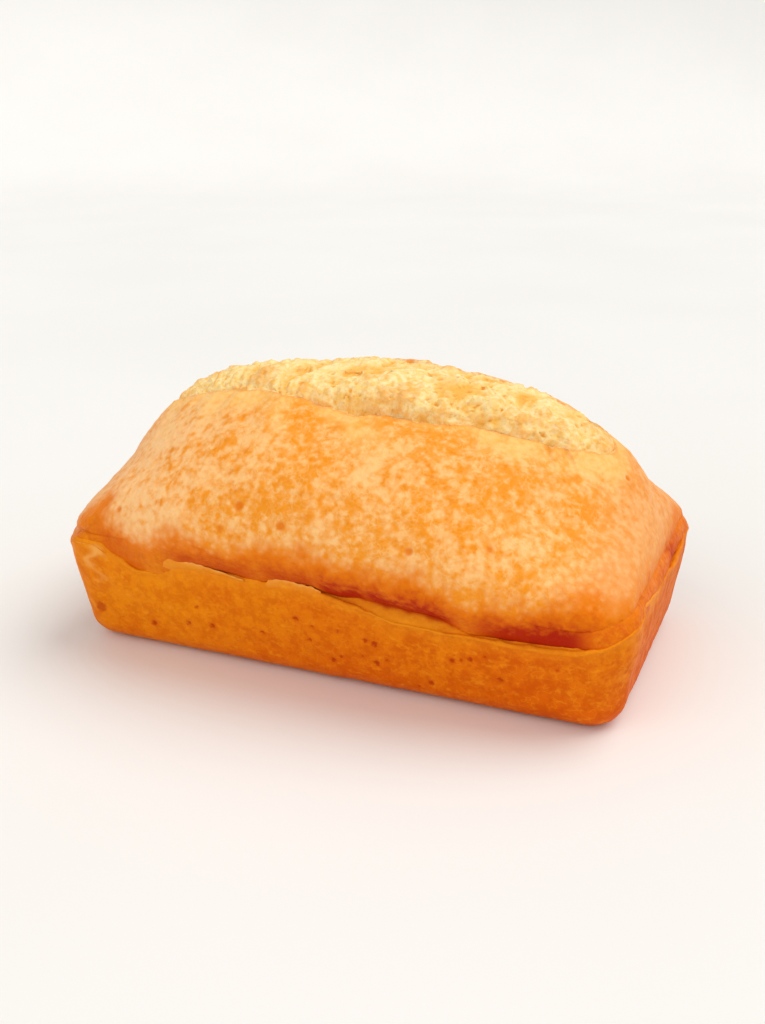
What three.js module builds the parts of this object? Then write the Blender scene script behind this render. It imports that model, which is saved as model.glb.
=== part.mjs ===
// A pound cake baked in a loaf tin and turned out whole: one solid on its flat base.
//
// Millimetres, +Z up. X runs along the loaf, -Y is its front long side, and the origin
// is the middle of the base. A sphere's rings are laid onto the loaf: its top pole is
// the middle of the crown, its bottom pole the middle of the base, and the rings in
// between follow the torn split, the dome, the shoulder, the rim and the tin's walls.

import * as THREE from "three";
import { mergeVertices } from "three/addons/utils/BufferGeometryUtils.js";

// The tin: walls that flare from a base with rounded corners.
const BASE_LENGTH = 198;
const BASE_WIDTH = 100;
const BASE_CORNER = 10.5; // plan radius of the upright corners at the base
const BASE_EDGE = 8; // rounding between the base and the walls
const RIM_FLARE_SIDE = 9.5; // how far the long walls lean out by the rim
const RIM_FLARE_END = 6; // how far the end walls lean out by the rim
const RIM_CORNER = 16;

// The rim: where the wall's crust ends in a thin torn lip, with a groove above it.
const RIM_HEIGHT = 39;
const LIP = 0.5; // how far the lip stands proud of the wall
const GROOVE_SHALLOW = 0.35;
const GROOVE_DEEP = 1.9;
const GROOVE_GAP = 1.1; // height of the groove above the lip
const LEDGE_GAP = 4.2; // extra height where a ledge lies between the two

// The dome above the rim.
const SHOULDER_BULGE = 6; // the long sides swell past the rim by this much
const SHOULDER_RISE_SIDE = 13; // the widest line lies this high above the rim
const SHOULDER_RISE_END = 5;
const SHOULDER_INSET_END = 3.4; // at the ends and corners the dome lies inside the rim
const CROWN_HEIGHT = 97;
const END_SLOPE = 2.9; // exponent of the crown's fall towards the ends
const CORNER_GROWTH = 230; // how fast the corners' plan radius grows above the rim
const CORNER_FALL = 3.4; // how fast the plan turns into an oval further up

// The split along the crown, where the crumb has pushed the crust apart.
const SPLIT_LENGTH = 164;
const SPLIT_WIDTH = 47;
const CRUMB_RISE = 2.6; // how far the torn crumb stands above the dome's line
const CRUST_CURL = 1.8; // where the crust's edge is lifted
const CRUST_SAG = 3.4; // where the crust's edge has sunk below the crumb

// Stretches of the rim that lie higher or lower, by distance along the perimeter
// from the middle of the front side. The right end's middle is at about 157.
const RIM_WAVES = [
  { at: -90, reach: 9, rise: 4.5 },
  { at: -65, reach: 9, rise: -4 },
  { at: 58, reach: 45, rise: -7 },
  { at: 157, reach: 30, rise: -2 },
  { at: 232, reach: 30, rise: -4.5 },
  { at: -236, reach: 34, rise: -4 },
  { at: -157, reach: 26, rise: 1.5 },
];

// Thin flakes of wall crust that reach past the rim: each starts steeply at one end
// and fades towards the other.
const FLAKES = [
  { from: -58, to: -27, rise: 4 },
  { from: -17, to: 4, rise: 2.2 },
  { from: 118, to: 146, rise: 2.4 },
  { from: 204, to: 236, rise: 3.2 },
  { from: 296, to: 276, rise: 2.2 },
  { from: -190, to: -216, rise: 3 },
  { from: -128, to: -152, rise: 2.2 },
];

// Where the groove is deepest, and where the ledge is widest.
const DEEP_STRETCHES = [
  { at: -66, reach: 16 },
  { at: 14, reach: 10 },
  { at: 34, reach: 17 },
  { at: 84, reach: 22 },
  { at: 176, reach: 13 },
  { at: 268, reach: 24 },
  { at: -258, reach: 22 },
  { at: -176, reach: 12 },
];
const LEDGE = { at: 33, reach: 18 };

// The mesh: points around each ring, and rings in each zone from the crown down.
const AROUND = 152;
const RINGS = { crumb: 8, tear: 2, dome: 10, shoulder: 3, rim: 5, wall: 5, edge: 4, base: 1 };

// Small heights within the rim's profile.
const SHOULDER_FOOT = 1.4; // from the groove up to the foot of the shoulder
const LIP_DEPTH = 1.4; // the lip's height on the wall
const LIP_ROUND = 0.1; // its crest stands this much above its outer edge

const RIM_HALF_LENGTH = BASE_LENGTH / 2 + RIM_FLARE_END;
const RIM_HALF_WIDTH = BASE_WIDTH / 2 + RIM_FLARE_SIDE;
const DOME_HALF_WIDTH = RIM_HALF_WIDTH + SHOULDER_BULGE;
const DOME_HALF_LENGTH = RIM_HALF_LENGTH - SHOULDER_INSET_END;
const TEAR_LENGTH = SPLIT_LENGTH / 2 + 2; // the crust's edge, just outside the crumb
const TEAR_WIDTH = SPLIT_WIDTH / 2 + 1.5;
const RIDGE_SHARE = 0.4; // the crumb's rings close on a ridge this much of its length

const { sin, cos, sqrt, abs, min, max, PI } = Math;
const lerp = THREE.MathUtils.lerp;
const smoothstep = THREE.MathUtils.smoothstep;

// Smooth seeded noise from -1 to 1: random values on a grid of unit cells, blended.
function cellValue(i, j, k, seed) {
  let h = Math.imul(i, 374761393) ^ Math.imul(j, 668265263) ^ Math.imul(k, 1440662683);
  h = Math.imul(h ^ Math.imul(seed, 974711) ^ (h >>> 13), 1274126177);
  return ((h ^ (h >>> 16)) >>> 0) / 2147483647.5 - 1;
}

function noise(x, y, z, seed) {
  const [i, j, k] = [Math.floor(x), Math.floor(y), Math.floor(z)];
  const ease = (t) => t * t * (3 - 2 * t);
  const [u, v, w] = [ease(x - i), ease(y - j), ease(z - k)];
  const along = (b, c) => lerp(cellValue(i, b, c, seed), cellValue(i + 1, b, c, seed), u);
  const plane = (c) => lerp(along(j, c), along(j + 1, c), v);
  return lerp(plane(k), plane(k + 1), w);
}

// A point of a rounded rectangle, a fraction of the way round from the middle of its
// front side towards +X. Each quarter is shared out evenly, so that rings line up.
function roundedRectangle(halfLength, halfWidth, radius, fraction) {
  const quarter = Math.floor(fraction * 4) % 4;
  const within = fraction * 4 - Math.floor(fraction * 4);
  const side = halfLength - radius;
  const arc = (PI / 2) * radius;
  const run = (quarter % 2 ? 1 - within : within) * (side + arc + halfWidth - radius);
  const turn = min(max((run - side) / radius, 0), PI / 2);
  const x = min(run, side) + radius * sin(turn);
  const y = halfWidth - radius + radius * cos(turn) - max(run - side - arc, 0);
  return { x: quarter < 2 ? x : -x, y: quarter === 0 || quarter === 3 ? -y : y };
}

function ellipse(halfLength, halfWidth, fraction) {
  const angle = 2 * PI * fraction;
  return { x: halfLength * sin(angle), y: -halfWidth * cos(angle) };
}

// Distance along the rim from the middle of the front side, from minus half to plus
// half of the perimeter.
function rimDistance(fraction) {
  const quarter = RIM_HALF_LENGTH + RIM_HALF_WIDTH - (2 - PI / 2) * RIM_CORNER;
  return 4 * quarter * (fraction > 0.5 ? fraction - 1 : fraction);
}

// A flat-topped bump, 1 at its middle and fading out past its reach.
function bump(s, { at, reach }) {
  return Math.exp(-(((s - at) / reach) ** 4));
}

// The rim's height, and the same without its short waves, which the dome follows.
function rimHeight(fraction, shortest = 0) {
  const s = rimDistance(fraction);
  const wobble = 0.5 * noise(12 * sin(2 * PI * fraction), 12 * cos(2 * PI * fraction), 0, 3);
  return RIM_WAVES.filter((wave) => wave.reach > shortest)
    .reduce((height, wave) => height + wave.rise * bump(s, wave), RIM_HEIGHT + wobble);
}

function grooveDepth(fraction) {
  const s = rimDistance(fraction);
  const deepest = max(...DEEP_STRETCHES.map((stretch) => bump(s, stretch)));
  return lerp(GROOVE_SHALLOW, GROOVE_DEEP, deepest);
}

function grooveHeight(fraction) {
  const gap = GROOVE_GAP + LEDGE_GAP * bump(rimDistance(fraction), LEDGE);
  return rimHeight(fraction) + gap;
}

function flakeRise(fraction) {
  const s = rimDistance(fraction);
  let rise = 0;
  for (const flake of FLAKES) {
    const t = (s - flake.from) / (flake.to - flake.from);
    if (t > 0 && t < 1) rise = flake.rise * min(t * 8, 1) * (1 - t) ** 0.6;
  }
  return rise;
}

// 1 along the middle of the long sides, 0 at the corners and ends.
function sideness(x) {
  return 1 - smoothstep(abs(x), 45, RIM_HALF_LENGTH - 6);
}

// How far the dome's widest line stands out from the rim, or in from it at the ends.
function shoulderSwell(x) {
  return lerp(-SHOULDER_INSET_END, SHOULDER_BULGE, sideness(x));
}

function shoulderHeight(fraction, x) {
  const steady = rimHeight(fraction, 20) + lerp(SHOULDER_RISE_END, SHOULDER_RISE_SIDE, sideness(x));
  return max(steady, grooveHeight(fraction) + 2);
}

// Height of the dome on the ring of the given half length and half width: the side's
// profile and the end's profile, blended by how near the ring's end the point lies.
function domeHeight(fraction, halfLength, halfWidth, x) {
  const foot = shoulderHeight(fraction, x);
  const sideRise = sqrt(max(0, 1 - (halfWidth / DOME_HALF_WIDTH) ** 2));
  const endRise = sqrt(max(0, 1 - (halfLength / DOME_HALF_LENGTH) ** END_SLOPE));
  const towardsEnd = min(1, abs(x) / max(halfLength, 1)) ** 2.6;
  return foot + (CROWN_HEIGHT - foot) * lerp(sideRise, endRise, towardsEnd);
}

// The crust's lumps: broad ones of the rise and smaller ones of the crust itself.
function lumps(p) {
  const broad = noise(p.x / 34, p.y / 30, p.z / 26, 11);
  const small = noise(p.x / 12, p.y / 12, p.z / 12, 12);
  return 1.1 * broad + 0.45 * small;
}

// How the split's edge wanders sideways, apart on its two sides.
function tearWander(x, y) {
  const side = y < 0 ? 21 : 22;
  return 4.2 * noise(x / 24, 0, 0, side) + 2 * noise(x / 8, 0, 0, side + 10);
}

// 1 where the crust's edge is lifted over the crumb, 0 where it has sunk below it.
function crustLift(x, y) {
  const turn = y < 0 ? -x - 14 : x + 22;
  return smoothstep(turn + 18 * noise(x / 30, y < 0 ? 0 : 5, 0, 41), -22, 22);
}

// The torn crumb: two long humps with a cleft between them, broken into lumps.
function crumbRelief(x, y, across) {
  const cleft = 4 * noise(x / 26, 0, 0, 51) - 3;
  const hump = 1 - across ** 6 - 0.9 * Math.exp(-(((y - cleft) / 3.2) ** 2));
  const torn = 1 - 2 * abs(noise(x / 22, y / 11, 0, 52));
  return CRUMB_RISE * hump + 1.1 * torn + 0.5 * noise(x / 14, y / 9, 0, 53);
}

const zones = {
  crumb(f, fraction) {
    const stretch = f > 0 ? lerp(RIDGE_SHARE, 1, f) : 0;
    const p = ellipse((SPLIT_LENGTH / 2) * stretch, (SPLIT_WIDTH / 2) * f, fraction);
    const z = domeHeight(fraction, TEAR_LENGTH * stretch, TEAR_WIDTH * f, p.x);
    const relief = crumbRelief(p.x, p.y, f);
    const across = min(1, abs(p.y) / (SPLIT_WIDTH / 2));
    return new THREE.Vector3(p.x, p.y + across * tearWander(p.x, p.y), z + relief);
  },

  // The crust's broken edge: from the crumb's foot up onto the crust.
  tear(f, fraction) {
    const halfLength = lerp(SPLIT_LENGTH / 2, TEAR_LENGTH, f);
    const halfWidth = lerp(SPLIT_WIDTH / 2, TEAR_WIDTH, f);
    const p = ellipse(halfLength, halfWidth, fraction);
    const z = domeHeight(fraction, TEAR_LENGTH, TEAR_WIDTH, p.x);
    const across = min(1, abs(p.y) / halfWidth);
    const lift = crustLift(p.x, p.y);
    const edge = lerp(-CRUST_SAG, CRUST_CURL, lift) * across;
    const wander = across * tearWander(p.x, p.y);
    return new THREE.Vector3(p.x, p.y + wander, z + edge - (f < 1 ? 1 - lift * 0.6 : 0));
  },

  dome(f, fraction) {
    const slimmest = TEAR_WIDTH / DOME_HALF_WIDTH;
    const swing = lerp(Math.acos(slimmest), 0, f);
    const slim = cos(swing);
    const power = Math.log(TEAR_LENGTH / DOME_HALF_LENGTH) / Math.log(slimmest);
    const halfLength = DOME_HALF_LENGTH * slim ** power;
    const halfWidth = DOME_HALF_WIDTH * slim;
    const radius = min(RIM_CORNER + CORNER_GROWTH * (1 - slim), 0.96 * halfWidth);
    const square = ((slim - slimmest) / (1 - slimmest)) ** CORNER_FALL;
    const box = roundedRectangle(halfLength, halfWidth, radius, fraction);
    const oval = ellipse(halfLength, halfWidth, fraction);
    const p = new THREE.Vector3(lerp(oval.x, box.x, square), lerp(oval.y, box.y, square), 0);
    p.y *= lerp(1, (RIM_HALF_WIDTH + shoulderSwell(p.x)) / DOME_HALF_WIDTH, f);
    p.z = domeHeight(fraction, halfLength, halfWidth, p.x);
    const push = lumps(p) * sin(PI * min(1, 2 * f));
    const near = (1 - f) ** 3;
    const across = min(1, abs(p.y) / halfWidth);
    p.z += push * sin(swing) + near * across * lerp(-CRUST_SAG, CRUST_CURL, crustLift(p.x, p.y));
    p.y += push * slim * Math.sign(p.y) + near * across * tearWander(p.x, p.y);
    return p;
  },

  // From the widest line down and in to the top of the groove.
  shoulder(f, fraction) {
    const rim = roundedRectangle(RIM_HALF_LENGTH, RIM_HALF_WIDTH, RIM_CORNER, fraction);
    const inset = -0.5 * grooveDepth(fraction);
    const bulging = lerp((1 - f) ** 2, cos((PI / 2) * f), sideness(rim.x));
    const p = roundedRectangle(
      RIM_HALF_LENGTH + lerp(inset, -SHOULDER_INSET_END, bulging),
      RIM_HALF_WIDTH + lerp(inset, shoulderSwell(rim.x), bulging), RIM_CORNER, fraction);
    const bottom = grooveHeight(fraction) + SHOULDER_FOOT;
    return new THREE.Vector3(p.x, p.y, lerp(shoulderHeight(fraction, p.x), bottom, f));
  },

  // Groove, ledge, the lip's inner edge, its crest and the wall just below it.
  rim(f, fraction) {
    const step = Math.round(f * RINGS.rim) - 1;
    const rise = flakeRise(fraction);
    const depth = grooveDepth(fraction);
    const lip = rimHeight(fraction);
    const groove = grooveHeight(fraction);
    const outset = [-depth, -0.5 * depth, 0, LIP + 0.15 * rise, LIP][step];
    const crest = lip + rise;
    const z = [groove, lerp(groove, lip, 0.6), crest + LIP_ROUND, crest, lip - LIP_DEPTH][step];
    const p = roundedRectangle(
      RIM_HALF_LENGTH + outset, RIM_HALF_WIDTH + outset, RIM_CORNER, fraction);
    return new THREE.Vector3(p.x, p.y, z);
  },

  wall(f, fraction) {
    const z = lerp(rimHeight(fraction) - LIP_DEPTH, BASE_EDGE, f);
    const lean = z / RIM_HEIGHT;
    const ripple = 0.5 * noise(fraction * 40, z / 14, 0, 61) * sin(PI * f);
    const swell = LIP * (1 - f) ** 2 + ripple;
    const halfLength = BASE_LENGTH / 2 + RIM_FLARE_END * lean + swell;
    const halfWidth = BASE_WIDTH / 2 + RIM_FLARE_SIDE * lean + swell;
    const radius = lerp(BASE_CORNER, RIM_CORNER, lean);
    const p = roundedRectangle(halfLength, halfWidth, radius, fraction);
    return new THREE.Vector3(p.x, p.y, z);
  },

  edge(f, fraction) {
    const z = BASE_EDGE * (1 - sin((PI / 2) * f));
    const inset = BASE_EDGE * (1 - cos((PI / 2) * f));
    const lean = z / RIM_HEIGHT;
    const halfLength = BASE_LENGTH / 2 + RIM_FLARE_END * lean - inset;
    const halfWidth = BASE_WIDTH / 2 + RIM_FLARE_SIDE * lean - inset;
    const radius = max(lerp(BASE_CORNER, RIM_CORNER, lean) - inset, 4);
    const p = roundedRectangle(halfLength, halfWidth, radius, fraction);
    return new THREE.Vector3(p.x, p.y, z);
  },

  base() {
    return new THREE.Vector3(0, 0, 0);
  },
};

// Which zone a ring belongs to, and how far down that zone it lies.
function placeOfRing(ring) {
  let first = 0;
  for (const [zone, count] of Object.entries(RINGS)) {
    if (ring <= first + count) return { zone, f: (ring - first) / count };
    first += count;
  }
  return { zone: "base", f: 1 };
}

function buildLoaf() {
  const ringCount = Object.values(RINGS).reduce((sum, count) => sum + count, 0);
  const geometry = new THREE.SphereGeometry(1, AROUND, ringCount);
  const position = geometry.attributes.position;
  for (let index = 0; index < position.count; index += 1) {
    const ring = Math.floor(index / (AROUND + 1));
    const fraction = (index % (AROUND + 1)) / AROUND;
    const { zone, f } = placeOfRing(ring);
    const p = zones[zone](f, fraction % 1);
    position.setXYZ(index, p.x, p.y, p.z);
  }
  geometry.deleteAttribute("normal");
  geometry.deleteAttribute("uv");
  const closed = mergeVertices(geometry, 1e-4);
  closed.computeBoundingBox();
  const middle = closed.boundingBox.getCenter(new THREE.Vector3());
  closed.translate(-middle.x, -middle.y, 0);
  closed.computeVertexNormals();
  return closed;
}

const crust = new THREE.MeshStandardMaterial({ color: 0xc9802b, roughness: 0.72, metalness: 0 });
const loaf = new THREE.Mesh(buildLoaf(), crust);
loaf.name = "pound_cake_loaf";

const cake = new THREE.Group();
cake.add(loaf);

export default cake;
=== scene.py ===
"""A whole pound cake loaf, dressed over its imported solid.

The tin-baked crust of the sides and base, the freckled crust of the dome, the loose
flakes along the rim and the torn crumb in the split are separate closed pieces that
ride together. Inside this file the loaf is measured in millimetres, as its solid is:
X along it, -Y out of the front side, Z up from the base.
"""

import bmesh
import bpy
import numpy as np
from bpy.props import FloatProperty, FloatVectorProperty, PointerProperty
from mathutils import Matrix, Vector


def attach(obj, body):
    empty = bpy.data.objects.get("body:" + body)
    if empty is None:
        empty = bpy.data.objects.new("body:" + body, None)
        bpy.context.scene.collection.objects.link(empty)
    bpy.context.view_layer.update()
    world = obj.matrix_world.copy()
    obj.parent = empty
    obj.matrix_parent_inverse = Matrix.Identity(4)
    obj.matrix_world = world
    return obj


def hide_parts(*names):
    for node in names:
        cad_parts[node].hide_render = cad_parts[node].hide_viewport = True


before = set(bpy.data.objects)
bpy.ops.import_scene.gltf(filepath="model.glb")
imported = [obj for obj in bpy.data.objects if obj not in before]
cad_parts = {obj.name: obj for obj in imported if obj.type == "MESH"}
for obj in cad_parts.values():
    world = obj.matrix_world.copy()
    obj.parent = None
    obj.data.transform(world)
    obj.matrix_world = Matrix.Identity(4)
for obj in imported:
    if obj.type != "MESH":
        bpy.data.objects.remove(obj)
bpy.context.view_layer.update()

bl_info = {
    "name": "Pound cake loaf",
    "version": (1, 0, 0),
    "blender": (4, 5, 0),
    "location": "3D View > Sidebar > Loaf",
    "description": "Builds the crust, crumb and flakes of a loaf cake over its packed solid",
    "category": "Object",
}

NODE = "pound_cake_loaf"
MM = 0.001
HALF_PI = np.pi / 2

# The tin, as in the solid but for its ripple.
BASE_CORNER = 10.5
BASE_EDGE = 8
SMALLEST_CORNER = 4
RIM_FLARE_SIDE = 9.5
RIM_FLARE_END = 6
RIM_CORNER = 16
WALL_RIPPLE = 0.5

# The lip, which stands proud where the crust is open and sinks in where it is fused,
# and the groove and ledge above it.
LIP = 0.5
LIP_SUNK = -0.9
LIP_THIN = 0.25
LIP_THICK = 1.0
LIP_DEPTH = 2
LIP_FADE = 6  # the wall follows the lip in or out, down to about here
LEDGE_THICK = 0.3
GROOVE_SHALLOW = 1.1
GROOVE_DEEP = 1.8
GROOVE_GAP = 1.3
LEDGE_GAP = 3.6

# The dome and its split.
SHOULDER_BULGE = 6
SHOULDER_RISE_SIDE = 13
SHOULDER_RISE_END = 5
SHOULDER_INSET_END = 3.4
END_SLOPE = 2.9
CORNER_GROWTH = 230
CORNER_FALL = 3.4
CRUST_CURL = 1.8
CRUST_SAG = 3.4
TEAR_WANDERS = [(4.2, 24, 21), (2, 8, 31)]  # (height, size, seed) of the torn edges' waves
TEAR_MARGIN_LENGTH = 2  # from the crumb's edge out to the crust's torn edge
TEAR_MARGIN_WIDTH = 1.5
CRUMB_RISE = 2.6
CRUMB_OVERLAP = 1.1  # the crumb runs on under the crust, out to this share of its size
CRUMB_TUCK = 7  # how far it dips there
CRUMB_THICKNESS = 8
SHELF_DROP = 2.6
PORE_DEPTH = 1.1

# (at, reach, rise) along the rim, from the middle of the front side.
RIM_WAVES = [
    (-90, 9, 4.5), (-65, 9, -4), (58, 45, -7), (157, 30, -2), (232, 30, -4.5),
    (-236, 34, -4), (-157, 26, 1.5),
]

# (from, to, rise) of the thin sheets of wall crust that reach past the rim.
FLAKES = [
    (-56.5, -27, 4), (-17, 4, 2.2), (118, 146, 2.4), (204, 236, 3.2),
    (296, 276, 2.2), (-190, -216, 3), (-128, -152, 2.2),
]

# (at, reach, share) of the stretches where the dome has drawn in behind the rim.
OPEN_STRETCHES = [
    (-70, 10, 0.35), (-38, 20, 0.3), (-8, 13, 0.7), (12, 10, 1.0), (34, 17, 1.0),
    (75, 19, 1.0), (176, 13, 0.7), (268, 24, 0.9), (-258, 22, 0.9), (-176, 12, 0.6),
]
LEDGE = (33, 18)  # (at, reach) of the ledge between the lip and the groove
BROWNED_AND_SHADED = [(-36, 22, 0.62), (-76, 11, 0.45)]  # (at, reach, share), darker though fused: partly browning, partly painted shade

# A curl of pale film that peels down the wall near its corner, and a scorched spot.
PEELED_AT = -88
PEEL_SWING = 3.2
PEEL_TURN = 11
PEEL_WIDTH = 2
PEEL_REACH = 15
SCORCHED = (-89, -54, 15)
SCORCH_REACH = 2.6

# (at, length, rise at its start, rise at its end, lean, curl) of the loose flakes
# along the rim.
LOOSE_FLAKES = [
    (-88, 13, 2.2, 1.0, -0.9, 0.2),
    (-42, 33, 5.8, 0.0, 2.4, 0.0),
    (-6, 18, 2.6, 1.2, -0.3, 0.3),
    (252, 16, -1.4, 2.0, 0.5, 0.4),
    (279, 21, 3.0, -1.2, 1.2, 0.3),
    (-243, 14, 1.6, -1.2, 0.5, 0.4),
    (-278, 19, -1.2, 2.6, 1.0, 0.3),
]
FLAKE_THICKNESS = 0.22
FLAKE_ROOT = 1.8  # below the rim
FLAKE_OUTSET = 0.3
FLAKE_TUCK = 1.9  # in behind the lip, at the root

# Pin-holes in the front wall, as (along, up), and pits in the dome's front. Others are
# scattered, except on the front between its corners.
FRONT_FROM = -45
FRONT_REACH = 80
PIN_HOLE_DEPTH = 0.4
PIT_DEPTH = 0.45
PIN_HOLES = [
    (-67, 12), (-52, 15), (-47, 23), (-42, 16), (-22, 17), (-8, 26),
    (-4, 18), (-2, 24), (7, 24), (4, 11), (7, 13), (15, 15),
    (17, 22), (20, 21), (20, 13), (24, 15), (34, 6), (39, 9),
    (47, 20), (50, 21), (53, 22), (58, 24), (63, 16),
]
DOME_PITS = [
    (-74, -57, 56), (-24, -62, 66), (-8, -64, 62),
    (-30, -64, 58), (35, -62, 59), (59, -56, 61),
]

# (turn, share) of the rings that roll over the lip: how strong its marks are there.
LIP_TURNS = [(2.7, 0.2), (2.1, 0.6), (HALF_PI, 1), (1.0, 1), (0.5, 0.8), (0, 0.6)]
# (inward, below) of the rings that turn the crust's torn edge over into the split.
TEAR_TURNS = [(0.6, 6), (1.0, 2.6), (1.2, 1.4), (0.95, 0.7), (0.5, 0.2)]

# Where the crusts close inside the loaf: heights, and a depth below the crown.
INSIDE_TIN = 30
INSIDE_DOME = 34
TEAR_POLE_DEPTH = 16

# How finely the pieces are divided.
AROUND = 880  # points on each ring of the two crusts
LEDGE_RINGS = 9
WALL_RINGS = 46
EDGE_RINGS = 14
BASE_RINGS = 16
DOME_RINGS = 78
SHOULDER_RINGS = 22
CRUMB_GRID = (120, 380)  # across and along the split
FLAKE_RINGS = 12

FAR_AWAY = 9.0  # millimetres, past the reach of any spot

# The studio, in metres.
FLOOR_REACH = 1.6
SWEEP_TURN = 0.9
SWEEP_HEIGHT = 2.5
FLOOR_SHADE = (240, 240, 238)
FLOOR_LIGHT = (243, 243, 242)
AIR_COLOUR = (1.0, 0.985, 0.96, 1)
AIR_STRENGTH = 0.5
LIGHT_COLOUR = (1.0, 0.97, 0.93)
# Name, direction it shines from, softness in radians and strength.
STUDIO_LIGHTS = [
    ("key_light", (0.5, 0.35, 1.0), 0.8, 1.5),
    ("front_light", (-0.35, -1.0, 0.7), 1.0, 0.8),
    ("side_light", (1.0, -0.3, 0.5), 1.2, 0.35),
]

FRAME_HEIGHT = 1024
FOCAL_PIXELS = 1170
SENSOR_WIDTH = 36
CAMERA_PLACE = (0.1575, -0.369, 0.199)
CAMERA_AIM = (0, 0, 0.045)
CAMERA_ROLL = -0.0129


# ---- small maths ----


def lerp(a, b, t):
    return a + (b - a) * t


def smoothstep(x, low, high):
    t = np.clip((x - low) / (high - low), 0, 1)
    return t * t * (3 - 2 * t)


def bump(x, at, reach):
    """A flat-topped bump, 1 at its middle and fading out past its reach."""
    return np.exp(-(((x - at) / reach) ** 4))


def cell_value(i, j, k, seed):
    """A random number from -1 to 1 for each whole-numbered cell."""
    i, j, k = (np.asarray(n).astype(np.int64).astype(np.uint32) for n in (i, j, k))
    mixed = i * np.uint32(374761393) ^ j * np.uint32(668265263) ^ k * np.uint32(1440662683)
    mixed = mixed ^ np.uint32(seed * 974711 & 0xFFFFFFFF) ^ (mixed >> np.uint32(13))
    mixed = mixed * np.uint32(1274126177)
    return (mixed ^ (mixed >> np.uint32(16))) / 2147483647.5 - 1


def noise(x, y, z, seed):
    """Smooth seeded noise from -1 to 1 on a grid of unit cells."""
    x, y, z = np.broadcast_arrays(*(np.asarray(n, float) for n in (x, y, z)))
    i, j, k = np.floor(x), np.floor(y), np.floor(z)
    u, v, w = ((t * t * (3 - 2 * t)) for t in (x - i, y - j, z - k))

    def along(b, c):
        return lerp(cell_value(i, j + b, k + c, seed), cell_value(i + 1, j + b, k + c, seed), u)

    return lerp(lerp(along(0, 0), along(1, 0), v), lerp(along(0, 1), along(1, 1), v), w)


def field(places, size, seed):
    """Noise over points, with features of the given size in millimetres."""
    return noise(places[..., 0] / size, places[..., 1] / size, places[..., 2] / size, seed)


def ridges(places, size, seed):
    """Sharp crests between rounded hollows, from -1 to 1."""
    return 1 - 2 * np.abs(field(places, size, seed))


def lobes(places, size, seed):
    """Rounded lumps between sharp creases, from -1 to 1."""
    return -ridges(places, size, seed)


def spots(places, cell, radius, share, seed):
    """Distance to the edge of the nearest of many scattered spots, below 0 inside one."""
    home = np.floor(places / cell)
    nearest = np.full(places.shape[:-1], FAR_AWAY)
    for step in np.ndindex(3, 3, 3):
        i, j, k = np.moveaxis(home + np.array(step) - 1, -1, 0)
        jitter = [cell_value(i, j, k, seed + n) for n in range(4)]
        centre = np.stack([i, j, k], -1) + 0.5 + 0.45 * np.stack(jitter[:3], -1)
        distance = np.linalg.norm(places - centre * cell, axis=-1)
        distance -= radius * (0.7 + 0.3 * jitter[3])
        shown = cell_value(i, j, k, seed + 4) < 2 * share - 1
        nearest = np.where(shown, np.minimum(nearest, distance), nearest)
    return nearest


def layered(places, layers):
    """The sum of layers of noise, each given as its height, kind, size and seed."""
    return sum(height * kind(places, size, seed) for height, kind, size, seed in layers)


def rounded_rectangle(half_length, half_width, radius, fraction):
    """Points of a rounded rectangle, a fraction of the way round from its front."""
    turns = fraction * 4
    quarter = np.floor(turns).astype(int) % 4
    within = turns - np.floor(turns)
    side = half_length - radius
    arc = HALF_PI * radius
    run = np.where(quarter % 2 == 1, 1 - within, within) * (side + arc + half_width - radius)
    turn = np.clip((run - side) / radius, 0, HALF_PI)
    x = np.minimum(run, side) + radius * np.sin(turn)
    y = half_width - radius + radius * np.cos(turn) - np.maximum(run - side - arc, 0)
    return np.where(quarter < 2, x, -x), np.where((quarter == 0) | (quarter == 3), -y, y)


def points(x, y, z):
    """One array of points from three that broadcast together."""
    return np.stack(np.broadcast_arrays(x, y, z), -1).astype(float)


# ---- the loaf's form ----


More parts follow.
